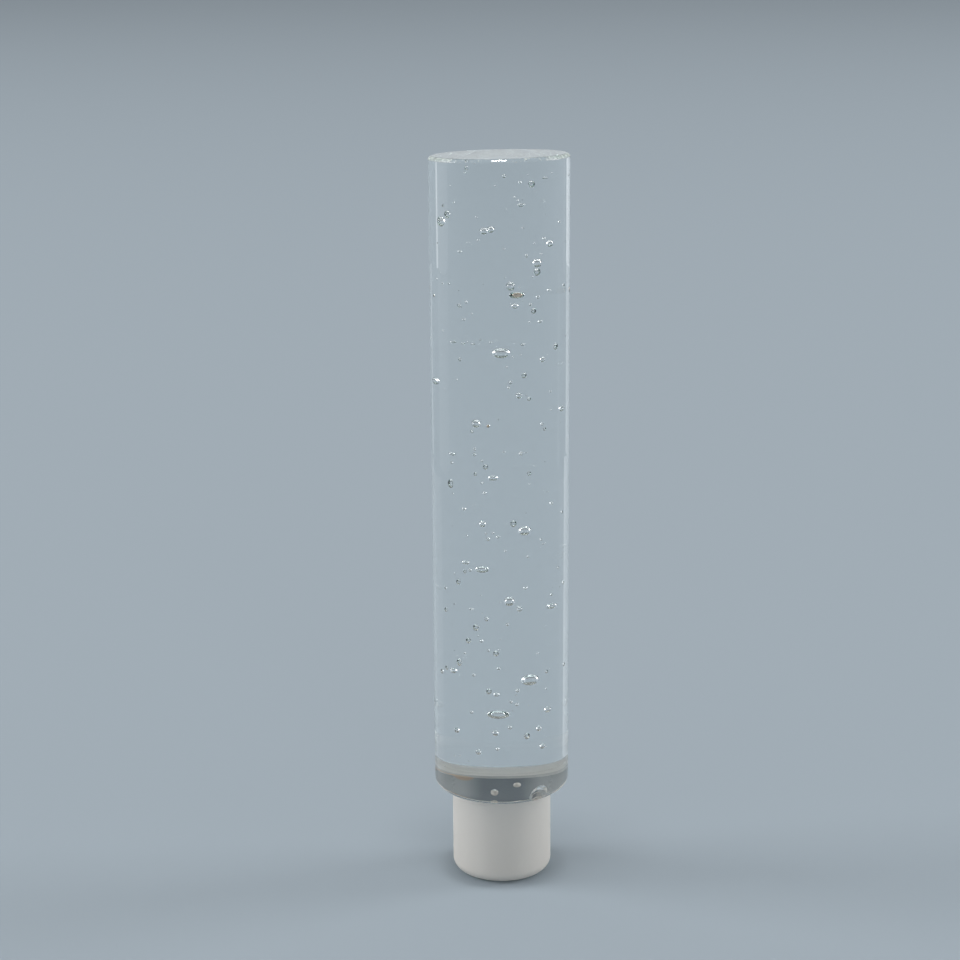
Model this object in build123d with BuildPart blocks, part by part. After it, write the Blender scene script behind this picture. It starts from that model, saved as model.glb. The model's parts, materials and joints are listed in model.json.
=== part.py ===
from build123d import *
import os

# A solid glass rod with bubbles in it, cast in one piece. Its top is sawn flat and polished.
# Its lower end is ground down to a narrower tenon, which plugs into a socket. The rod also stands
# on the tenon's flat foot. Millimetres, +Z up, with the origin at the middle of the foot.
# The front is -Y, and +X is to its right.

# Body
body_diameter = 40.0
body_length = 188.2
shoulder_rounding = 3.0

# Tenon
tenon_diameter = 29.4
tenon_length = 27.0
foot_rounding = 3.3

# Sawn top: it isn't quite square to the rod, and is highest at the front
top_slope_degrees = 2.6
top_rises_towards_degrees = -68.0
top_rounding = 1.0

# Chip: a shell-shaped flake is missing from the front of the shoulder's lower corner
chip_turn_degrees = -56.0
chip_above_shoulder = 1.2
chip_depth = 1.6
chip_curve_radius = 6.0

# Bubbles: each is a little taller than it is wide, drawn out along the rod.
# turn is counted from +X towards +Y. out is a share of the body's radius, and rise a share of
# the body's length above the shoulder, so that each bubble stays inside glass of any size.
# turn, out, rise, width, height
largest_bubbles = [
    (52, 0.38, 0.176, 3.1, 3.3),
    (89, 0.50, 0.698, 2.9, 3.0),
    (200, 0.72, 0.905, 2.6, 2.9),
    (7, 0.23, 0.426, 2.6, 2.8),
    (286, 0.35, 0.321, 2.5, 2.8),
    (91, 0.91, 0.104, 2.5, 2.6),
    (283, 0.58, 0.814, 2.3, 2.6),
    (222, 0.91, 0.511, 2.0, 2.7),
    (336, 0.43, 0.843, 2.3, 2.5),
    (233, 0.45, 0.602, 2.2, 2.4),
    (218, 0.84, 0.919, 2.0, 2.3),
    (230, 0.90, 0.228, 1.7, 2.3),
    (231, 0.25, 0.892, 1.9, 2.0),
    (258, 0.45, 0.897, 1.8, 1.9),
    (84, 0.90, 0.782, 1.8, 2.0),
    (282, 0.82, 0.454, 1.8, 2.0),
]

body_radius = body_diameter / 2
tenon_radius = tenon_diameter / 2
top_height = tenon_length + body_length
sawing_allowance = body_radius

# Bubbles: half an ellipse turned round its own upright axis, for each
with BuildPart() as bubbles:
    for turn, out, rise, width, height in largest_bubbles:
        centre = Vector(out * body_radius, 0, tenon_length + rise * body_length)
        centre = centre.rotate(Axis.Z, turn)
        with BuildSketch(Plane(origin=centre, x_dir=(1, 0, 0), z_dir=(0, -1, 0))):
            Ellipse(width / 2, height / 2)
            Rectangle(width / 2, height, align=(Align.MAX, Align.CENTER), mode=Mode.SUBTRACT)
        revolve(axis=Axis(centre, (0, 0, 1)))

with BuildPart() as glass_rod:
    # Blank: the stepped outline turned round the rod's axis, with some length left for sawing
    with BuildSketch(Plane.XZ) as half_section:
        with BuildLine():
            Polyline(
                (0, 0),
                (tenon_radius, 0),
                (tenon_radius, tenon_length),
                (body_radius, tenon_length),
                (body_radius, top_height + sawing_allowance),
                (0, top_height + sawing_allowance),
                close=True,
            )
        make_face()
        corners = half_section.vertices()
        fillet(corners.sort_by_distance((tenon_radius, 0))[0], foot_rounding)
        corners = half_section.vertices()
        fillet(corners.sort_by_distance((body_radius, tenon_length))[0], shoulder_rounding)
    revolve(axis=Axis.Z)

    # Sawn top, with its edge rounded over
    square_to_cut = Vector(0, 0, 1).rotate(Axis.Y, -top_slope_degrees)
    square_to_cut = square_to_cut.rotate(Axis.Z, top_rises_towards_degrees)
    split(bisect_by=Plane(origin=(0, 0, top_height), z_dir=square_to_cut), keep=Keep.BOTTOM)
    fillet(glass_rod.edges().sort_by(Axis.Z)[-1], top_rounding)

    # Chip: a scoop whose deepest point is chip_depth inside the body's side
    chip_centre = Vector(
        body_radius - chip_depth + chip_curve_radius, 0, tenon_length + chip_above_shoulder
    )
    with Locations(chip_centre.rotate(Axis.Z, chip_turn_degrees)):
        Sphere(chip_curve_radius, mode=Mode.SUBTRACT)

    add(bubbles.part, mode=Mode.SUBTRACT)

glass_rod.part.label = "glass_rod"
os.makedirs("parts", exist_ok=True)
export_step(glass_rod.part, "parts/glass_rod.step")
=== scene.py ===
# %% [markdown]
# # A solid glass rod full of bubbles
#
# The rod is one casting: a clear round body, a rounded shoulder, and a narrower tenon that was ground
# until it turned white. Clear glass has hardly a colour of its own. What the eye reads is how it bends
# and mirrors the room, so this scene spends its care on the shape of the glass, on the bubbles inside
# it, on the ground finish, and on a room that is worth mirroring.

# %% Load the frame
import json
import math
import random

import bmesh
import bpy
import numpy as np
from mathutils import Matrix, Vector


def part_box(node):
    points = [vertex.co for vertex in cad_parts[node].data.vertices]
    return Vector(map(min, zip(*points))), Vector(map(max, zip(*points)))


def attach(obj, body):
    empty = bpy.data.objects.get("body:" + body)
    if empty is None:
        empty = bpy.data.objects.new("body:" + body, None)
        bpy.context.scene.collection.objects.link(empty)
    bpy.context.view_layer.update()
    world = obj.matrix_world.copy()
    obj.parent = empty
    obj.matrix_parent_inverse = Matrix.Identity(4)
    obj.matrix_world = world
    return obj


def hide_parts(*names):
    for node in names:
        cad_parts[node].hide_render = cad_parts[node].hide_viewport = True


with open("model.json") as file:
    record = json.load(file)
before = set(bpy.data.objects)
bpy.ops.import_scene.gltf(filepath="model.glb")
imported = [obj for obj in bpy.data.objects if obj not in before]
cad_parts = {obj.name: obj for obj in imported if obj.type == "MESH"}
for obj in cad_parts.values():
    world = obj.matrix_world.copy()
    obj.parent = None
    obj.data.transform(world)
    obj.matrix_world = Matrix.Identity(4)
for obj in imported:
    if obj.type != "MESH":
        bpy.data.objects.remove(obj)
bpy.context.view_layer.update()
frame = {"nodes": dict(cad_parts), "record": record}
MM = 0.001

# %% [markdown]
# ## Camera
#
# The photo looks slightly down at the rod through a long lens. A near camera with a short lens and a
# far one with a long lens can frame the same rod, but they don't give it the same taper towards the
# foot. The taper and the shape of the top's oval settle how far away and how high the camera stands.

# %% Place the camera
CAMERA_AWAY = 0.6396
CAMERA_HEIGHT = 0.2892
LOOKS_DOWN = math.radians(14.75)
TURNED_LEFT = math.radians(0.53)
LEANS = math.radians(-0.38)
LENS = 85.34

camera_place = (
    Matrix.Translation((0, -CAMERA_AWAY, CAMERA_HEIGHT))
    @ Matrix.Rotation(TURNED_LEFT, 4, "Z")
    @ Matrix.Rotation(math.radians(90) - LOOKS_DOWN, 4, "X")
    @ Matrix.Rotation(LEANS, 4, "Z")
)
camera = bpy.data.objects.new("camera", bpy.data.cameras.new("camera"))
camera.data.lens = LENS
camera.matrix_world = camera_place
scene = bpy.context.scene
scene.collection.objects.link(camera)
scene.camera = camera
scene.view_settings.view_transform = "Standard"
print("lens in mm:", LENS)

# %% [markdown]
# ## Node helpers
#
# A material is a tree of nodes. Adding a node, setting it and joining it to others takes several
# lines each time, so three small functions do it in one.


# %% Node helpers
def add_node(tree, kind, inputs=None, **settings):
    """Adds a node, sets its properties, and fills or links the inputs that are named or numbered."""
    node = tree.nodes.new(kind)
    for name, value in settings.items():
        setattr(node, name, value)
    for name, value in (inputs or {}).items():
        if isinstance(value, bpy.types.NodeSocket):
            tree.links.new(value, node.inputs[name])
        else:
            node.inputs[name].default_value = value
    return node


def add_math(tree, operation, first, second=0.0):
    """One Math node, and the socket that it puts out."""
    return add_node(tree, "ShaderNodeMath", {0: first, 1: second}, operation=operation).outputs[0]


def add_range(tree, value, low, high, to_low=0.0, to_high=1.0, smooth=False):
    """A socket that goes from to_low to to_high while value goes from low to high."""
    kind = "SMOOTHSTEP" if smooth else "LINEAR"
    inputs = {"Value": value, "From Min": low, "From Max": high, "To Min": to_low, "To Max": to_high}
    return add_node(tree, "ShaderNodeMapRange", inputs, interpolation_type=kind).outputs["Result"]


def empty_material(name):
    """A material with only its output node."""
    material = bpy.data.materials.new(name)
    material.use_nodes = True
    material.node_tree.nodes.clear()
    output = add_node(material.node_tree, "ShaderNodeOutputMaterial")
    return material, material.node_tree, output


# %% [markdown]
# ## Floor
#
# One wide plain sheet of pale blue-grey paper. It reaches far past the view on every side, because
# clear glass shows what stands beside and behind the camera too. It lies a hair below the rod's foot,
# so that the two faces don't fight for the same place.

# %% Floor
PALE_BLUE_GREY = (0.36, 0.42, 0.47, 1)
FLOOR_SIDE = 16.0
FLOOR_GAP = 0.05 * MM

half = FLOOR_SIDE / 2
floor_mesh = bpy.data.meshes.new("floor")
floor_mesh.from_pydata(
    [(-half, -half, 0), (half, -half, 0), (half, half, 0), (-half, half, 0)], [], [(0, 1, 2, 3)]
)
floor = bpy.data.objects.new("floor", floor_mesh)
floor.location.z = -FLOOR_GAP
scene.collection.objects.link(floor)
floor_paint, tree, output = empty_material("floor_paint")
paint = add_node(
    tree,
    "ShaderNodeBsdfPrincipled",
    {"Base Color": PALE_BLUE_GREY, "Roughness": 0.9, "Specular IOR Level": 0.2},
)
tree.links.new(paint.outputs["BSDF"], output.inputs["Surface"])
floor_mesh.materials.append(floor_paint)

# %% [markdown]
# ## Room
#
# The rim of a bubble is a mirror that looks up, down and sideways at once. With a pale ceiling those
# rims come out white against the quieter floor, as they do in the photo. The sawn top is seen so
# flatly that it mirrors only what stands just above the horizon, so a pale strip runs round the room
# there. Between strip and ceiling the wall is darker. It gives the bubbles their dark halves, and it
# is what the clear edge under the shoulder bends into view, so that this edge stays a dark line.
#
# Camera, mirrored and refracted rays see this painted room. Rays that a matt surface has scattered
# get a softer light, strong from straight above and weak from the sides. It lies evenly on the floor,
# keeps the shadow close round the foot, and leaves the back of the ground tenon dim, which shows
# through the clear shoulder. Painted shade on the tenon's inner side darkens it further.

# %% Room
PALE_GREY = (0.66, 0.70, 0.74, 1)
STRIP_LOW, STRIP_FULL = 0.005, 0.03
STRIP_ENDING, STRIP_HIGH = 0.05, 0.08
WALL_GREY = (0.17, 0.20, 0.22, 1)
CEILING_STARTS = 0.40
CEILING_FULL = 0.75
LIGHT_FROM_SIDES = 0.05
LIGHT_FROM_ABOVE = 0.80

world = bpy.data.worlds.new("room")
scene.world = world
world.use_nodes = True
tree = world.node_tree
tree.nodes.clear()
direction = add_node(tree, "ShaderNodeTexCoord").outputs["Generated"]
height = add_node(tree, "ShaderNodeSeparateXYZ", {0: direction}).outputs["Z"]
above_low = add_range(tree, height, STRIP_LOW, STRIP_FULL, smooth=True)
below_high = add_range(tree, height, STRIP_HIGH, STRIP_ENDING, smooth=True)
strip = add_math(tree, "MULTIPLY", above_low, below_high)
ceiling = add_range(tree, height, CEILING_STARTS, CEILING_FULL, smooth=True)
pale = add_math(tree, "MAXIMUM", strip, ceiling)
below_pale = add_node(
    tree, "ShaderNodeMix", {0: above_low, 6: PALE_BLUE_GREY, 7: WALL_GREY}, data_type="RGBA"
).outputs[2]
seen_colour = add_node(
    tree, "ShaderNodeMix", {0: pale, 6: below_pale, 7: PALE_GREY}, data_type="RGBA"
).outputs[2]
seen_room = add_node(tree, "ShaderNodeBackground", {"Color": seen_colour})
soft_light = add_range(tree, height, 0, 1, LIGHT_FROM_SIDES, LIGHT_FROM_ABOVE)
lit_room = add_node(tree, "ShaderNodeBackground", {"Strength": soft_light})
ray = add_node(tree, "ShaderNodeLightPath").outputs
is_seen = add_math(tree, "MAXIMUM", ray["Is Camera Ray"], ray["Is Glossy Ray"])
is_seen = add_math(tree, "MAXIMUM", is_seen, ray["Is Transmission Ray"])
unscattered = add_math(tree, "LESS_THAN", ray["Diffuse Depth"], 0.5)
is_seen = add_math(tree, "MULTIPLY", is_seen, unscattered)
room = add_node(
    tree, "ShaderNodeMixShader", {0: is_seen, 1: lit_room.outputs[0], 2: seen_room.outputs[0]}
)
add_node(tree, "ShaderNodeOutputWorld", {"Surface": room.outputs[0]})

# %% [markdown]
# ## Lamps
#
# Four softboxes stand about six metres off, so that the floor is lit evenly over the whole view. Each has
# a task that can be seen in the glass. The two at the sides put a bright spot on the left and right
# of every bubble, and make the sides of the ground tenon lighter than its front. The one overhead
# puts the short white line on the front of the sawn rim. The one in front keeps the tenon white.
#
# The edges of a clear rod bend the view right round, until they show what stands beside it. So low
# strips of light stand at the sides, at three distances. Those on the left draw the bright line down
# the rod's right edge. The further a strip is, the higher up the rod it shows, and the furthest is
# the brightest, so the line is bright at its top and dims towards the shoulder. Those on the right
# draw a fainter line on its left. They stand so near that they would paint bands of light on the
# floor, so they are there for the glass alone.


# %% Lamps
ROD_MIDDLE = 0.11


def add_softbox(name, place, width, height, brightness, lights_floor=True):
    """A rectangular lamp at place that faces the rod. brightness is what a mirror would show of it.

    Without lights_floor it stands upright, is seen only in glass, and lights nothing that is matt.
    """
    lamp = bpy.data.lights.new(name, "AREA")
    lamp.shape = "RECTANGLE"
    lamp.size = width
    lamp.size_y = height
    lamp.energy = brightness * math.pi * width * height
    softbox = bpy.data.objects.new(name, lamp)
    softbox.location = place
    softbox.visible_diffuse = lights_floor
    faced_height = ROD_MIDDLE if lights_floor else place[2]
    to_rod = Vector((0, 0, faced_height)) - Vector(place)
    softbox.rotation_euler = to_rod.to_track_quat("-Z", "Y").to_euler()
    scene.collection.objects.link(softbox)
    print(name, "gives", round(lamp.energy, 1), "W")


add_softbox("left_softbox", (-5.6, 0.5, 2.3), 2.6, 2.8, 6.5)
add_softbox("right_softbox", (5.3, 1.3, 2.2), 2.2, 2.8, 6)
add_softbox("overhead_softbox", (-0.1, -0.45, 6.2), 1.45, 0.8, 26.5)
add_softbox("front_softbox", (1.2, -5.2, 2.6), 2.4, 1.6, 1.5)
add_softbox("left_far_strip", (-1.06, 0.28, 0.07), 0.52, 0.14, 0.42, False)
add_softbox("left_near_strip", (-0.48, 0.13, 0.05), 0.24, 0.10, 0.22, False)
add_softbox("left_low_strip", (-0.072, 0.040, 0.053), 0.042, 0.105, 0.18, False)
add_softbox("right_far_strip", (0.84, 0.71, 0.07), 0.06, 0.14, 0.26, False)
add_softbox("right_near_strip", (0.47, 0.18, 0.05), 0.05, 0.10, 0.18, False)
add_softbox("right_low_strip", (0.072, 0.033, 0.053), 0.030, 0.105, 0.12, False)

# %% [markdown]
# ## Light paths
#
# A ray can bounce between the walls of a solid rod and its bubbles many times before it gets out. With
# Blender's usual limits it would be cut off inside and turn black, so the limits go up.

# %% Light paths
scene.cycles.max_bounces = 32
scene.cycles.glossy_bounces = 24
scene.cycles.transmission_bounces = 32

# %% [markdown]
# ## Outline of the rod
#
# The rod is a turned shape, so its skin is an outline carried round the axis. The CAD model gives the
# outline's sizes. Rows of points stand close together at the rounded corners, where the surface turns
# quickly, and far apart on the straight walls.

# %% Outline sizes
cad_low, cad_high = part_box("glass_rod")
BODY_RADIUS = (cad_high.x - cad_low.x) / 2
TENON_RADIUS = frame["record"]["mounts"][0]["dims"]["r_mm"] * MM
SHOULDER_HEIGHT = 27.0 * MM
SHOULDER_ROUNDING = 3.0 * MM
FOOT_ROUNDING = 3.3 * MM
TOP_ROUNDING = 1.0 * MM
RIM_FACET = 0.5 * MM
RIM_CORNERS = 0.7 * MM
TOP_SLOPE = math.tan(math.radians(2.6))
TOP_RISES_TOWARDS = math.radians(-68)
RISE_ALONG_X = TOP_SLOPE * math.cos(TOP_RISES_TOWARDS)
RISE_ALONG_Y = TOP_SLOPE * math.sin(TOP_RISES_TOWARDS)
rim_radius = BODY_RADIUS - TOP_ROUNDING
crown = TOP_ROUNDING * (math.sqrt(1 + TOP_SLOPE**2) - 1)
TOP_HEIGHT = cad_high.z - rim_radius * TOP_SLOPE + crown
print("the sawn top is", round(TOP_HEIGHT / MM, 2), "mm up on the axis")


# %% Outline
def corner(centre_radius, centre_height, rounding, steps):
    """A quarter circle, from facing straight down to facing straight out."""
    turns = np.linspace(-math.pi / 2, 0, steps)
    return [
        (centre_radius + rounding * math.cos(t), centre_height + rounding * math.sin(t)) for t in turns
    ]


def run(start, end, steps):
    """Points along a straight stretch, both ends among them."""
    return [tuple(point) for point in np.linspace(start, end, steps)]


foot_flat = TENON_RADIUS - FOOT_ROUNDING
shoulder_flat = BODY_RADIUS - SHOULDER_ROUNDING
corner_top = SHOULDER_HEIGHT + SHOULDER_ROUNDING
outline = (
    run((2 * MM, 0), (foot_flat - MM, 0), 4)
    + corner(foot_flat, FOOT_ROUNDING, FOOT_ROUNDING, 12)
    + run((TENON_RADIUS, FOOT_ROUNDING + MM), (TENON_RADIUS, SHOULDER_HEIGHT), 8)
    + run((TENON_RADIUS + 0.8 * MM, SHOULDER_HEIGHT), (shoulder_flat - 0.5 * MM, SHOULDER_HEIGHT), 3)
    + corner(shoulder_flat, corner_top, SHOULDER_ROUNDING, 24)
    + run((BODY_RADIUS, corner_top + 0.2 * MM), (BODY_RADIUS, SHOULDER_HEIGHT + 6 * MM), 14)
    + run((BODY_RADIUS, SHOULDER_HEIGHT + 10 * MM), (BODY_RADIUS, TOP_HEIGHT - 6 * MM), 16)
)
print("rows of points:", len(outline))

# %% [markdown]
# ## Chips
#
# Glass breaks in shells: smooth hollows with faint ripples that spread from the point of the blow. One
# such flake is missing from the front of the shoulder's lower corner, and a smaller nick lies left of
# it. Both are balls pressed into the skin. Points inside a ball slide straight in towards the axis
# until they lie on it, which keeps the skin closed, as cutting with a boolean might not.

# %% Chips
CHIP_TURN = math.radians(-56)
CHIP_ABOVE_SHOULDER = 1.2 * MM
CHIP_DEPTH = 1.6 * MM
CHIP_CURVE_RADIUS = 6.0 * MM
RIPPLE_HEIGHT = 0.05 * MM
RIPPLE_SPACING = 0.9 * MM
RIPPLES_FADE_OVER = 0.3 * MM
NICK_TURN = math.radians(-110)
NICK_CURVE_RADIUS = 1.4 * MM


def on_a_turn(turn, out, up):
    """A point at a distance out from the axis, on the given turn from +X towards +Y."""
    return np.array([out * math.cos(turn), out * math.sin(turn), up])


chip_middle = on_a_turn(
    CHIP_TURN,
    BODY_RADIUS - CHIP_DEPTH + CHIP_CURVE_RADIUS,
    SHOULDER_HEIGHT + CHIP_ABOVE_SHOULDER,
)
nick_middle = on_a_turn(NICK_TURN, BODY_RADIUS - 1.0 * MM, SHOULDER_HEIGHT - 0.4 * MM)
blow = on_a_turn(CHIP_TURN, shoulder_flat, SHOULDER_HEIGHT)


def scooped(points, middle, curve_radius):
    """Slides the points inside a ball straight in towards the axis, onto it, and ripples them."""
    away = points - middle
    outward = points * (1, 1, 0)
    outward = outward / np.linalg.norm(outward, axis=1, keepdims=True)
    along = (away * outward).sum(1)
    depth = curve_radius**2 - (away**2).sum(1)
    slide = np.where(depth > 0, along + np.sqrt(np.maximum(along**2 + depth, 0)), 0)
    from_blow = np.linalg.norm(points - blow, axis=1)
    ripple = RIPPLE_HEIGHT * np.sin(from_blow / RIPPLE_SPACING * 2 * math.pi)
    slide = slide + ripple * np.clip(slide / RIPPLES_FADE_OVER, 0, 1)
    return points - outward * slide[:, None]


# %% [markdown]
# ## Skin
#
# The columns of points stand two degrees apart, and half a degree apart across the chips, where the
# small hollows need more of them. The saw cut isn't square to the rod, so the rows at the top slope
# with it. They go over the rim along a rounded corner, a narrow facet and another rounded corner, as
# when an edge is taken off by hand against a polishing wheel, and then in across the flat. The foot
# and the top close to a point on the axis.

# %% Sawn top
CORNER_STEPS = 7
FLAT_SHARES = (0.93, 0.6, 0.25)


def over_the_rim(lean, facet, whole_turn):
    """How far in and up a point of the rim lies, once the skin has turned by lean."""
    back = RIM_CORNERS * (1 - np.cos(lean)) + facet * np.sin(whole_turn / 2)
    up = RIM_CORNERS * np.sin(lean) + facet * np.cos(whole_turn / 2)
    return back, up


def sawn_rows(turns):
    """How far out and how high each row lies, over the rim and in across the slope."""
    slope = RISE_ALONG_X * np.cos(turns) + RISE_ALONG_Y * np.sin(turns)
    whole_turn = math.pi / 2 + np.arctan(slope)
    back, up = over_the_rim(whole_turn, RIM_FACET, whole_turn)
    rim_start = TOP_HEIGHT + slope * (BODY_RADIUS - back) - up
    rows = [(BODY_RADIUS, rim_start - 0.2 * MM)]
    for first, last, facet in ((0, 0.5, 0), (0.5, 1, RIM_FACET)):
        for share in np.linspace(first, last, CORNER_STEPS):
            back, up = over_the_rim(share * whole_turn, facet, whole_turn)
            rows.append((BODY_RADIUS - back, rim_start + up))
    for share in FLAT_SHARES:
        out = share * BODY_RADIUS
        rows.append((out, TOP_HEIGHT + slope * out))
    return rows


# %% Skin
FINE_HALF_WIDTH = math.radians(13)
FINE_STEP = 0.5
COARSE_EVERY = 4


def turned_away(turns, middle):
    """How far each turn is from the middle one, the short way round."""
    return np.abs((turns - middle + math.pi) % (2 * math.pi) - math.pi)


def column_turns():
    """The turns of the skin's columns."""
    fine = np.radians(np.arange(0, 360, FINE_STEP))
    coarse = np.arange(len(fine)) % COARSE_EVERY == 0
    near_chip = turned_away(fine, CHIP_TURN) < FINE_HALF_WIDTH
    near_nick = turned_away(fine, NICK_TURN) < FINE_HALF_WIDTH / 2
    return fine[coarse | near_chip | near_nick]


def skin():
    """Points and faces of the rod's closed outside."""
    turns = column_turns()
    columns = len(turns)
    rows = []
    for out, up in outline + sawn_rows(turns):
        rows.append(np.stack([out * np.cos(turns), out * np.sin(turns), up + 0 * turns], 1))
    points = np.concatenate(rows)
    points = scooped(points, chip_middle, CHIP_CURVE_RADIUS)
    points = scooped(points, nick_middle, NICK_CURVE_RADIUS)
    foot_point = len(points)
    top_point = foot_point + 1
    last_row = foot_point - columns
    points = np.concatenate([points, [(0, 0, 0), (0, 0, TOP_HEIGHT)]])
    faces = []
    for i in range(columns):
        k = (i + 1) % columns
        faces.append((foot_point, k, i))
        for row in range(0, last_row, columns):
            faces.append((row + i, row + k, row + columns + k, row + columns + i))
        faces.append((last_row + i, last_row + k, top_point))
    return points, faces


skin_points, skin_faces = skin()
print("skin:", len(skin_points), "points")

# %% [markdown]
# ## Bubbles in the CAD model
#
# The sixteen largest bubbles are hollows in the CAD solid. Their places and sizes are read from its
# mesh, so that the rod in this scene has them exactly where the solid has them. A set of points that
# hangs together, apart from the rest, is one bubble. The sets are found in no fixed order, so the
# bubbles are sorted by width, and equal ones by place. Then every run gives the same mesh.


# %% Largest bubbles
def separate_sets(mesh):
    """The mesh's points, gathered into sets that hang together."""
    left = set(mesh.verts)
    sets = []
    while left:
        waiting = [left.pop()]
        found = []
        while waiting:
            point = waiting.pop()
            found.append(tuple(point.co))
            beside = {edge.other_vert(point) for edge in point.link_edges} & left
            left -= beside
            waiting.extend(beside)
        sets.append(np.array(found))
    return sets


LARGEST_BUBBLE = 6 * MM
solid = bmesh.new()
solid.from_mesh(frame["nodes"]["glass_rod"].data)
bmesh.ops.remove_doubles(solid, verts=solid.verts, dist=0.001 * MM)
bubbles = []
for points in separate_sets(solid):
    low, high = points.min(0), points.max(0)
    if (high - low).max() < LARGEST_BUBBLE:
        bubbles.append((Vector((low + high) / 2), Vector((high - low) / 2)))
solid.free()
bubbles.sort(key=lambda bubble: (-bubble[1].x, *bubble[0]))
print("bubbles in the CAD solid:", len(bubbles))

# %% [markdown]
# ## Bubbles that the photo shows
#
# The smaller bubbles are placed where the photo shows them, which isn't where they seem to be: the
# round wall of the rod bends the view. So a camera ray is sent through the pixel, bent at the wall as
# glass bends it, and followed to the depth at which the bubble lies. The depth comes from the shape in
# the photo. The rod is a lens that stretches what lies behind sideways, so a bubble that looks wide
# and flat is at the back, and one that looks round is at the front.
#
# This script doesn't work those depths out. Most depths and widths in the first list below were
# solved beforehand, in another script, from how wide and how tall each bubble looks. The seeds are too
# small to show a shape, so their depths are guesses.

# %% A pixel's place in the glass
PHOTO_SIDE = 960
GLASS_IOR = 1.5


def place_in_glass(across, down, back):
    """The point inside the body, back behind its axis, that the photo shows at a pixel."""
    half_side = PHOTO_SIDE / 2
    half_view = camera.data.sensor_width / 2 / LENS
    aim = Vector(((across / half_side - 1) * half_view, (1 - down / half_side) * half_view, -1))
    way = (camera_place.to_3x3() @ aim).normalized()
    eye = camera_place.translation
    to_axis = -eye.xy.dot(way.xy) / way.xy.length_squared
    miss = (eye + way * to_axis).xy.length
    half_chord = math.sqrt(max(BODY_RADIUS**2 - miss**2, 0)) / way.xy.length
    wall = eye + way * (to_axis - half_chord)
    outward = Vector((wall.x, wall.y, 0)).normalized()
    facing = -way.dot(outward)
    bent = way / GLASS_IOR
    bent += outward * (facing / GLASS_IOR - math.sqrt(1 - (1 - facing**2) / GLASS_IOR**2))
    return wall + bent * ((back - wall.y) / bent.y)


print("the photo's middle lies", [round(c / MM, 1) for c in place_in_glass(480, 480, 0)])

# %% Smaller bubbles
# across and down in the photo's pixels, then how far behind the axis and how wide, in millimetres
SEEN_BUBBLES = [
    (550, 243.5, 0.3, 1.7), (537, 272, -13.1, 2.0), (515, 306, 2.6, 1.4), (435.5, 381, 4.7, 1.8),
    (519, 395.5, -10.3, 1.6), (561.5, 408.5, 2.3, 1.5), (493, 478, 10.8, 1.5), (482.5, 524, -2.1, 1.6),
    (482, 569.5, 14, 1.8), (519.5, 609, -10.7, 1.5), (547.5, 709.5, -1, 1.7), (453.5, 670.5, 4.7, 1.4),
    (489, 691.5, -17.8, 1.6), (496, 653.5, -16.8, 1.6), (495.5, 733, -9.1, 1.7), (539, 728.5, -3.6, 1.4),
    (551.5, 606, 9.6, 1.4), (531.5, 184, -14.5, 1.9), (521, 205, 13.6, 1.0), (542.5, 746, -5.6, 1.5),
    (527, 736, -17.3, 1.8),
    (555.5, 346.5, -10, 1.7), (542.5, 359.5, -4.6, 1.4), (466, 562.5, 12.3, 1.1), (457, 730, -6.8, 1.5),
    (478.5, 752, -10.3, 1.5), (496.5, 694.5, 3.6, 1.2), (533.5, 311, -16, 1.5), (524, 375.5, -17, 1.5),
    (485.5, 467, -17.5, 1.4), (458.5, 582, -14.5, 1.5), (476, 627.5, -17, 1.8), (468.5, 640.5, -16, 1.6),
    (517, 785, 3.8, 1.4), (494.5, 792.5, -7.5, 1.8),
]
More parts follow.
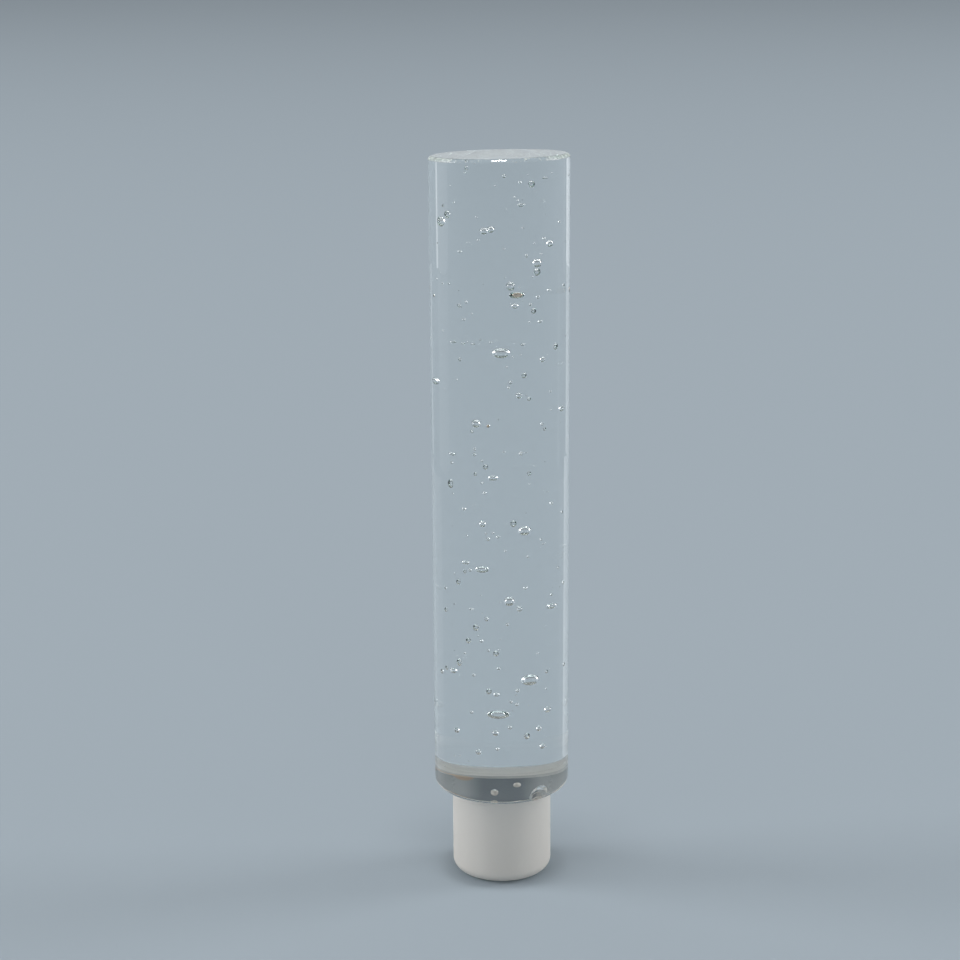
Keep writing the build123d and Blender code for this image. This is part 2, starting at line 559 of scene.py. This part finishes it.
# the same, for the seeds, which are too small to show a shape
SEEN_SEEDS = [
    (466.5, 168, -12, 1.1), (465, 172.5, 10, 0.4), (504, 176, -8, 1.1), (528, 175, -5, 0.4),
    (520, 182.5, 3, 0.7), (545, 178, 15, 0.5), (518, 200.5, -5, 0.5), (442.5, 205.5, -12, 0.9),
    (454, 202, -8, 0.5), (559.5, 222, 3, 0.6), (523, 228, -5, 0.5), (544, 238.5, 4, 0.7),
    (534.5, 243.5, 4, 0.4), (478, 240, 8, 0.4), (460, 251.5, 12, 0.6), (504, 249, -6, 0.5),
    (526.5, 256, -10, 0.9), (541, 254, -4, 0.5), (459, 305.5, -10, 1.0), (466, 302, -4, 0.7),
    (442.5, 283.5, -8, 0.6), (449, 283.5, -8, 0.6), (464, 319.5, 2, 0.7), (434, 295.5, -6, 1.0),
    (549, 290, 4, 0.7), (538, 297, -4, 0.9), (530.5, 304.5, -9, 0.9), (540, 321.5, 8, 0.8),
    (529.5, 322, 3, 0.4), (564, 285, -8, 1.0), (453, 342, 14, 0.6), (463, 343.5, 14, 0.5),
    (473, 344, 15, 0.5), (480, 340, 14, 0.4), (491, 342.5, 13, 0.5), (523, 344.5, 15, 0.6),
    (513, 357, -6, 0.4), (520.5, 355, -6, 0.4), (460, 359.5, -12, 1.0), (457, 379.5, -8, 0.5),
    (507, 367, -8, 0.6), (510.5, 382.5, -9, 1.0), (508.5, 387.5, -8, 0.7), (529, 399, -14, 1.1),
    (550.5, 391.5, -8, 0.6), (472, 431.5, -12, 0.9), (488, 426, -6, 1.0), (542, 424, -4, 0.8),
    (544.5, 429, -14, 1.0), (474.5, 449, -11, 0.9), (474.5, 454.5, -11, 1.0), (482, 461, -9, 0.7),
    (475.5, 474, -15, 1.1), (482, 483, -8, 0.6), (484.5, 493, 8, 0.7), (452.5, 454, 12, 0.8),
    (452, 462.5, -6, 0.7), (504, 452, -4, 0.6), (521, 453.5, -8, 1.1), (529, 473.5, -13, 1.2),
    (464, 509, 6, 0.8), (551.5, 503, 0, 0.9), (562, 512, -2, 0.8), (488, 539, -8, 1.1),
    (486, 533.5, -7, 0.6), (493, 533, -7, 0.6), (498, 537, 10, 0.7), (467, 536, -8, 0.6),
    (541, 539.5, -8, 0.7), (505.5, 551, -8, 0.6), (528, 556.5, -8, 0.7), (465, 571.5, -12, 1.1),
    (470, 570, -8, 0.9), (445.5, 588, -10, 0.8), (525.5, 588, 2, 0.8), (551.5, 594.5, -4, 0.8),
    (558, 567.5, -8, 0.7), (566, 583, -9, 1.1), (444, 610, -12, 1.3), (471.5, 609, 10, 0.6),
    (486.5, 619, -9, 1.2), (507.5, 624.5, -9, 0.9), (481.5, 641, -5, 0.9), (465, 653, -8, 0.6),
    (488.5, 650.5, -8, 0.8), (445, 668, -12, 1.3), (440, 671.5, -10, 1.4), (474, 675, -9, 0.9),
    (498.5, 668.5, 0, 0.8), (546.5, 671.5, -9, 1.0), (517.5, 690.5, -9, 1.1), (511, 702, -9, 0.9),
    (517, 704.5, -8, 0.9), (471.5, 712, -5, 0.9), (566, 664.5, -8, 1.2), (510, 727.5, -9, 1.1),
    (497.5, 749, -3, 0.9),
]
LEAST_WALL = 0.3 * MM
DRAWN_OUT = 1.1


def overlaps(middle, radius):
    """Whether a bubble would touch one that is there already."""
    return any((middle - other).length < radius + max(size) for other, size in bubbles)


def add_bubble(middle, width):
    """Notes a bubble, kept inside the wall, unless another is in its way."""
    radius = width / 2
    furthest = BODY_RADIUS - radius - LEAST_WALL
    middle = middle.copy()
    if middle.xy.length > furthest:
        middle.xy = middle.xy.normalized() * furthest
    if not overlaps(middle, radius * DRAWN_OUT):
        bubbles.append((middle, Vector((radius, radius, radius * DRAWN_OUT))))


for across, down, back, width in SEEN_BUBBLES + SEEN_SEEDS:
    add_bubble(place_in_glass(across, down, back * MM), width * MM)
print("with those that the photo shows:", len(bubbles))

# %% [markdown]
# ## Fine seeds
#
# Between the bubbles that can be told apart, the glass holds seeds of a few tenths of a millimetre. A
# seeded random draw scatters them through the body. The glass at the back left and back right is left
# out, because the rod stretches what lies there into long dashes.

# %% Fine seeds
FINE_SEEDS = 70
WIDEST_FINE = 0.45 * MM
draw = random.Random(4)
wanted = len(bubbles) + FINE_SEEDS
while len(bubbles) < wanted:
    out = (BODY_RADIUS - MM) * math.sqrt(draw.random())
    turn = draw.random() * 2 * math.pi
    up = SHOULDER_HEIGHT + 2 * MM + draw.random() * (TOP_HEIGHT - SHOULDER_HEIGHT - 4 * MM)
    width = WIDEST_FINE * (0.5 + 0.5 * draw.random())
    middle = Vector((out * math.cos(turn), out * math.sin(turn), up))
    if middle.y < 0 or abs(middle.x) < BODY_RADIUS / 2:
        add_bubble(middle, width)
print("with the fine seeds:", len(bubbles))

# %% [markdown]
# ## One closed mesh
#
# A bubble is a hole in the glass, not a thing. So its faces belong to the same mesh as the skin, and
# they are turned inside out: they face the air in the bubble, as the skin faces the air outside. Then
# a ray always knows which side of a face is glass. Large bubbles get more faces than small ones.


# %% Round shells
def ball(subdivisions):
    """Points and faces of a ball of radius 1, with its faces turned to look inwards."""
    mesh = bmesh.new()
    bmesh.ops.create_icosphere(mesh, subdivisions=subdivisions, radius=1)
    points = np.array([tuple(point.co) for point in mesh.verts])
    faces = [tuple(point.index for point in reversed(face.verts)) for face in mesh.faces]
    mesh.free()
    return points, faces


SMOOTHEST, SMOOTH, ROUGH = ball(4), ball(3), ball(2)
LARGE_WIDTH = 2.4 * MM
MIDDLE_WIDTH = 1.35 * MM


def ball_for(width):
    """The shell that is fine enough for a bubble of this width."""
    if width > LARGE_WIDTH:
        return SMOOTHEST
    return SMOOTH if width > MIDDLE_WIDTH else ROUGH


# %% Join the skin and its bubbles
all_points = [skin_points]
all_faces = list(skin_faces)
count = len(skin_points)
for middle, half_size in bubbles:
    points, faces = ball_for(2 * half_size.x)
    all_points.append(points * np.array(half_size) + np.array(middle))
    all_faces.extend(tuple(i + count for i in face) for face in faces)
    count += len(points)

rod_mesh = bpy.data.meshes.new("bubble_glass_rod")
rod_mesh.from_pydata(np.concatenate(all_points).tolist(), [], all_faces)
rod_mesh.validate()
rod_mesh.shade_smooth()
rod_mesh.set_sharp_from_angle(angle=math.radians(30))
rod = bpy.data.objects.new("bubble_glass_rod", rod_mesh)
scene.collection.objects.link(rod)
print("triangles:", sum(len(face.vertices) - 2 for face in rod_mesh.polygons))

# %% [markdown]
# ## Glass
#
# The whole rod is one piece of glass, so it has one material, and only its finish changes from place
# to place. Below the shoulder it is ground with grit, which leaves a matt white skin: rough glass,
# with a share of plain white where the finest splinters throw the light back. The border of that
# finish runs most of the way up the shoulder's rounding, but less far at the front, waves a little
# and is ragged. The chip is a fresh break and stays bright, with white crumbs along its edge and a
# crushed spot near its upper edge, which is partly white crushed glass and partly a painted glint.
# The sawn top is polished, but less well than the cast wall. Its rim is bruised, with small white
# crumbs along it. Its left and right ends look matt in the photo, and are frosted here in a green-white
# that is also painted light: it stands in for the green light piped up the long rod. A few specks of
# brown scale are cast in, and round one bubble near the back the brown is a painted reflection.
#
# The clear shoulder shows the ground skin of the tenon from inside. The photo has it greyer there
# than from outside, and darkest in the middle. The light in this scene doesn't make that difference
# by itself, so the two greys are painted shade, set as colours of the skin's inner side.
#
# The weak green tint comes from iron in the glass. It lies in the volume, so that it shows only where
# the light has come a long way, as in the two ends of the top face, where the rim's green-white
# painted light adds to it.

# %% Glass: where it is ground
GROUND_UP_TO = SHOULDER_HEIGHT + 2.1 * MM
LOWER_AT_FRONT = 1.9 * MM
BORDER_WAVES = 0.8 * MM
BORDER_RAGGED = 0.3 * MM
BORDER_SOFT = 0.35 * MM
FRESH_BORDER = 0.1 * MM, 0.2 * MM

glass, tree, output = empty_material("bubble_glass")
place = add_node(tree, "ShaderNodeTexCoord").outputs["Object"]
place_parts = add_node(tree, "ShaderNodeSeparateXYZ", {0: place}).outputs
level = place_parts["Z"]
crumbs = add_node(
    tree, "ShaderNodeTexNoise", {"Vector": place, "Scale": 900.0, "Detail": 3.0}
).outputs["Fac"]
ragged = add_range(tree, crumbs, 0, 1, -BORDER_RAGGED, BORDER_RAGGED)
slow_noise = add_node(
    tree, "ShaderNodeTexNoise", {"Vector": place, "Scale": 60.0, "Detail": 1.0}
).outputs["Fac"]
waves = add_range(tree, slow_noise, 0, 1, -BORDER_WAVES, BORDER_WAVES)
at_front = add_range(
    tree, place_parts["Y"], -0.4 * BODY_RADIUS, -0.8 * BODY_RADIUS, 0, LOWER_AT_FRONT, smooth=True
)
ragged_level = add_math(tree, "ADD", add_math(tree, "ADD", level, ragged), waves)
ragged_level = add_math(tree, "ADD", ragged_level, at_front)
ground = add_range(tree, ragged_level, GROUND_UP_TO + BORDER_SOFT, GROUND_UP_TO - BORDER_SOFT)
from_chip = add_node(
    tree, "ShaderNodeVectorMath", {0: place, 1: chip_middle.tolist()}, operation="DISTANCE"
).outputs["Value"]
unbroken = add_range(tree, from_chip, *(CHIP_CURVE_RADIUS + width for width in FRESH_BORDER))
ground = add_math(tree, "MULTIPLY", ground, unbroken)

# %% Glass: grain and gloss
GRIT_SCALE = 2500.0
GROUND_ROUGHNESS = 0.6
SAWN_ROUGHNESS = 0.06
FLAT_SKIN = 0.01 * MM
SAWN_BLEND = 0.06 * MM
GRAIN_STRENGTH = 0.5
GRAIN_DEPTH = 0.05 * MM

grit = add_node(
    tree, "ShaderNodeTexNoise", {"Vector": place, "Scale": GRIT_SCALE, "Detail": 2.0}
).outputs["Fac"]
square_to_cut = (-RISE_ALONG_X, -RISE_ALONG_Y, 1)
cut_level = add_node(
    tree, "ShaderNodeVectorMath", {0: place, 1: square_to_cut}, operation="DOT_PRODUCT"
).outputs["Value"]
sawn = add_range(
    tree, cut_level, TOP_HEIGHT - SAWN_BLEND, TOP_HEIGHT - FLAT_SKIN, 0, SAWN_ROUGHNESS
)
gloss_lost = add_math(tree, "MULTIPLY", ground, GROUND_ROUGHNESS)
gloss_lost = add_math(tree, "ADD", gloss_lost, sawn)
grain_height = add_math(tree, "MULTIPLY", grit, ground)
grain = add_node(
    tree,
    "ShaderNodeBump",
    {"Height": grain_height, "Strength": GRAIN_STRENGTH, "Distance": GRAIN_DEPTH},
).outputs["Normal"]

# %% Glass: bruised rim and chip, painted light at the rim's ends, a painted glint
BRUISE_SCALE = 1100.0
BRUISE_WHITE = 0.95
BRUISE_SPOTS = 0.57, 0.63
FROST_AND_LIGHT_SPOTS = 0.35, 0.65
RIM_BLEND = 0.05 * MM
CHIP_EDGE_SOFT = 0.03 * MM
FROSTED_AND_PAINTED_LIGHT_FROM = 0.60 * BODY_RADIUS, 0.72 * BODY_RADIUS
FROST_AND_PAINTED_LIGHT_WHITE = 0.40, 0.75
CRUMBLED_WIDTH = 0.45 * MM
CRUSHED_AND_GLINT_RADIUS = 1.0 * MM
CRUSHED_AND_GLINT_SPOT = on_a_turn(math.radians(-59.8), BODY_RADIUS - 0.6 * MM, SHOULDER_HEIGHT + 4.2 * MM)

above_wall = add_range(
    tree, cut_level, TOP_HEIGHT - 1.2 * TOP_ROUNDING, TOP_HEIGHT - 0.8 * TOP_ROUNDING, smooth=True
)
off_flat = add_range(tree, cut_level, TOP_HEIGHT - FLAT_SKIN, TOP_HEIGHT - RIM_BLEND, smooth=True)
spots = add_node(
    tree, "ShaderNodeTexNoise", {"Vector": place, "Scale": BRUISE_SCALE, "Detail": 2.0}
).outputs["Fac"]
on_rim = add_math(tree, "MULTIPLY", above_wall, off_flat)
# painted light: the rim's left and right ends turn green-white, for the light piped up the rod
at_sides = add_range(
    tree, add_math(tree, "ABSOLUTE", place_parts["X"]), *FROSTED_AND_PAINTED_LIGHT_FROM, smooth=True
)
frosted_ends_and_painted_light = add_math(tree, "MULTIPLY", on_rim, at_sides)
frost_and_painted_light = add_range(tree, spots, *FROST_AND_LIGHT_SPOTS, *FROST_AND_PAINTED_LIGHT_WHITE)
frost_and_painted_light = add_math(tree, "MULTIPLY", frost_and_painted_light, frosted_ends_and_painted_light)
chip_edge = add_range(tree, from_chip, CHIP_CURVE_RADIUS + CRUMBLED_WIDTH, CHIP_CURVE_RADIUS)
beyond_chip = add_range(tree, from_chip, CHIP_CURVE_RADIUS, CHIP_CURVE_RADIUS + CHIP_EDGE_SOFT)
chip_edge = add_math(tree, "MULTIPLY", chip_edge, beyond_chip)
bruised = add_math(tree, "MAXIMUM", on_rim, chip_edge)
bruises_and_painted_light = add_range(tree, spots, *BRUISE_SPOTS, 0, BRUISE_WHITE)
bruises_and_painted_light = add_math(tree, "MULTIPLY", bruises_and_painted_light, bruised)
bruises_and_painted_light = add_math(tree, "MAXIMUM", bruises_and_painted_light, frost_and_painted_light)
# the crushed spot is partly white crushed glass and partly a painted glint
from_glint_spot = add_node(
    tree, "ShaderNodeVectorMath", {0: place, 1: CRUSHED_AND_GLINT_SPOT.tolist()}, operation="DISTANCE"
).outputs["Value"]
crushed_and_painted_glint = add_range(tree, from_glint_spot, CRUSHED_AND_GLINT_RADIUS, 0.6 * CRUSHED_AND_GLINT_RADIUS)
bruises_and_painted_light = add_math(tree, "MAXIMUM", bruises_and_painted_light, crushed_and_painted_glint)

# %% Glass: brown scale, and a painted reflection
SCALE_AND_REFLECTION_BROWN = (0.72, 0.44, 0.22, 1)
# places, how far round them the glass is brown, and how brown it is
BROWN_SPECKS = [
    # the first is a painted reflection: brown round a bubble, for the warm tint that light from the side
    # gives it
    (on_a_turn(math.radians(84), 0.90 * BODY_RADIUS, 174.2 * MM), 1.4 * MM, 0.6),
    (np.array(place_in_glass(488, 426, -6 * MM)), 0.9 * MM, 0.8),
    (np.array(place_in_glass(440, 671.5, -10 * MM)), 1.1 * MM, 0.8),
    (np.array(place_in_glass(434, 295.5, -6 * MM)), 0.9 * MM, 0.8),
    (on_a_turn(math.radians(107), 15.0 * MM, SHOULDER_HEIGHT), 1.3 * MM, 0.55),
    (on_a_turn(CHIP_TURN, BODY_RADIUS - CHIP_DEPTH, SHOULDER_HEIGHT + 1.0 * MM), 2.2 * MM, 0.3),
]

brown = 0.0
for middle, reach, strength in BROWN_SPECKS:
    from_speck = add_node(
        tree, "ShaderNodeVectorMath", {0: place, 1: middle.tolist()}, operation="DISTANCE"
    ).outputs["Value"]
    speck = add_range(tree, from_speck, reach, 0.7 * reach, 0, strength, smooth=True)
    brown = add_math(tree, "MAXIMUM", speck, brown)
glass_colour = add_node(
    tree, "ShaderNodeMix", {0: brown, 6: (1, 1, 1, 1), 7: SCALE_AND_REFLECTION_BROWN}, data_type="RGBA"
).outputs[2]

# %% Glass: shaders
SPLINTER_WHITE = (0.95, 0.91, 0.86, 1)
RIM_WHITE_AND_PAINTED_LIGHT = (0.82, 0.88, 0.84, 1)
TENON_INSIDE_PAINTED_SHADE = (0.50, 0.50, 0.49, 1)
TENON_SHADE = (0.17, 0.185, 0.195, 1)
SHADE_HALF_WIDTH = 4.8 * MM
SHADE_STARTS = 15.0 * MM
SHADE_FULL = SHADE_STARTS + 3 * MM
SHOULDER_EDGE = 0.05 * MM
GREEN_TINT = (0.55, 0.90, 0.87, 1)
TINT_DENSITY = 2.0
SPLINTER_SHARE = 0.85
THROUGH_FROM_OUTSIDE = 0.15
THROUGH_FROM_INSIDE = 0.55

from_inside = add_node(tree, "ShaderNodeNewGeometry").outputs["Backfacing"]
below_shoulder = add_range(
    tree, level, SHOULDER_HEIGHT + SHOULDER_EDGE, SHOULDER_HEIGHT - SHOULDER_EDGE
)
off_foot = add_range(tree, level, SHADE_STARTS, SHADE_FULL)
on_tenon = add_math(tree, "MULTIPLY", below_shoulder, off_foot)
inside = add_math(tree, "MULTIPLY", from_inside, on_tenon)
from_middle = add_math(tree, "ABSOLUTE", place_parts["X"])
# painted shade: the tenon's inner side is painted grey, darkest in its middle
shade = add_range(tree, from_middle, SHADE_HALF_WIDTH, 0.4 * SHADE_HALF_WIDTH, smooth=True)
inside_painted_shade = add_node(
    tree, "ShaderNodeMix", {0: shade, 6: TENON_INSIDE_PAINTED_SHADE, 7: TENON_SHADE}, data_type="RGBA"
).outputs[2]
outside_colour = add_node(
    tree, "ShaderNodeMix", {0: above_wall, 6: SPLINTER_WHITE, 7: RIM_WHITE_AND_PAINTED_LIGHT}, data_type="RGBA"
).outputs[2]
skin_colour = add_node(
    tree, "ShaderNodeMix", {0: inside, 6: outside_colour, 7: inside_painted_shade}, data_type="RGBA"
).outputs[2]
skin_colour = add_node(
    tree, "ShaderNodeMix", {0: brown, 6: skin_colour, 7: SCALE_AND_REFLECTION_BROWN}, data_type="RGBA"
).outputs[2]
through = add_range(tree, inside, 0, 1, THROUGH_FROM_OUTSIDE, THROUGH_FROM_INSIDE)

clear_glass = add_node(
    tree,
    "ShaderNodeBsdfPrincipled",
    {
        "Base Color": glass_colour,
        "Roughness": gloss_lost,
        "IOR": GLASS_IOR,
        "Transmission Weight": 1.0,
        "Normal": grain,
    },
)
splinters_back = add_node(tree, "ShaderNodeBsdfDiffuse", {"Color": skin_colour, "Normal": grain})
splinters_through = add_node(
    tree, "ShaderNodeBsdfTranslucent", {"Color": skin_colour, "Normal": grain}
)
splinters = add_node(
    tree,
    "ShaderNodeMixShader",
    {0: through, 1: splinters_back.outputs[0], 2: splinters_through.outputs[0]},
)
white_share = add_math(tree, "MULTIPLY", ground, SPLINTER_SHARE)
white_share = add_math(tree, "MAXIMUM", white_share, bruises_and_painted_light)
surface = add_node(
    tree,
    "ShaderNodeMixShader",
    {0: white_share, 1: clear_glass.outputs["BSDF"], 2: splinters.outputs[0]},
)
tree.links.new(surface.outputs[0], output.inputs["Surface"])
tint = add_node(
    tree, "ShaderNodeVolumeAbsorption", {"Color": GREEN_TINT, "Density": TINT_DENSITY}
)
tree.links.new(tint.outputs["Volume"], output.inputs["Volume"])
rod_mesh.materials.append(glass)

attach(rod, "root")
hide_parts("glass_rod")
